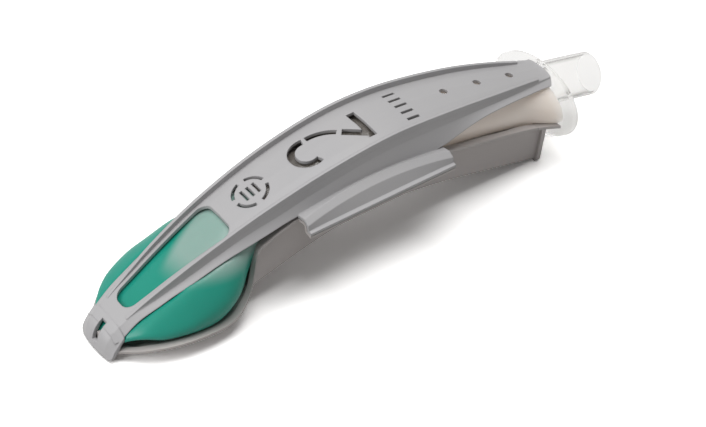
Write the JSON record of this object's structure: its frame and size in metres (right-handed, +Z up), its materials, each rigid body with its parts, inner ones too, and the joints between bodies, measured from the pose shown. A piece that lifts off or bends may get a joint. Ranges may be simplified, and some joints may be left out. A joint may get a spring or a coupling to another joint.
{
  "type": "supraglottic airway in travel cage",
  "caption": "Clear curved airway tube with a soft teal gel cuff and a 15 mm flanged connector, held in a grey arched two-piece moulded cage with a windowed lid.",
  "frame": {"origin": "on the surface it rests on, under the middle of the overall length and on the plane of symmetry of the tube", "axes": "+X along the length from the cuff's tip to the connector, +Z up, lid upwards; the size number and the snap clip of the picture's near side are at -Y"},
  "size_m": [0.1976, 0.0418, 0.0429],
  "materials": {
    "lid_plastic": "moulded polypropylene, light bluish grey, soft sheen",
    "tray_plastic": "moulded polypropylene, light grey, soft sheen",
    "cuff_gel": "soft translucent teal gel elastomer, satin",
    "shaft_clear": "clear soft elastomer, glossy",
    "connector_clear": "clear rigid plastic, glossy"
  },
  "bodies": {
    "root": {"cage_lid": "lid_plastic", "cage_tray": "tray_plastic", "gel_cuff": "cuff_gel", "airway_shaft": "shaft_clear", "connector_flange": "connector_clear", "airway_connector": "connector_clear"}
  },
  "joints": []
}
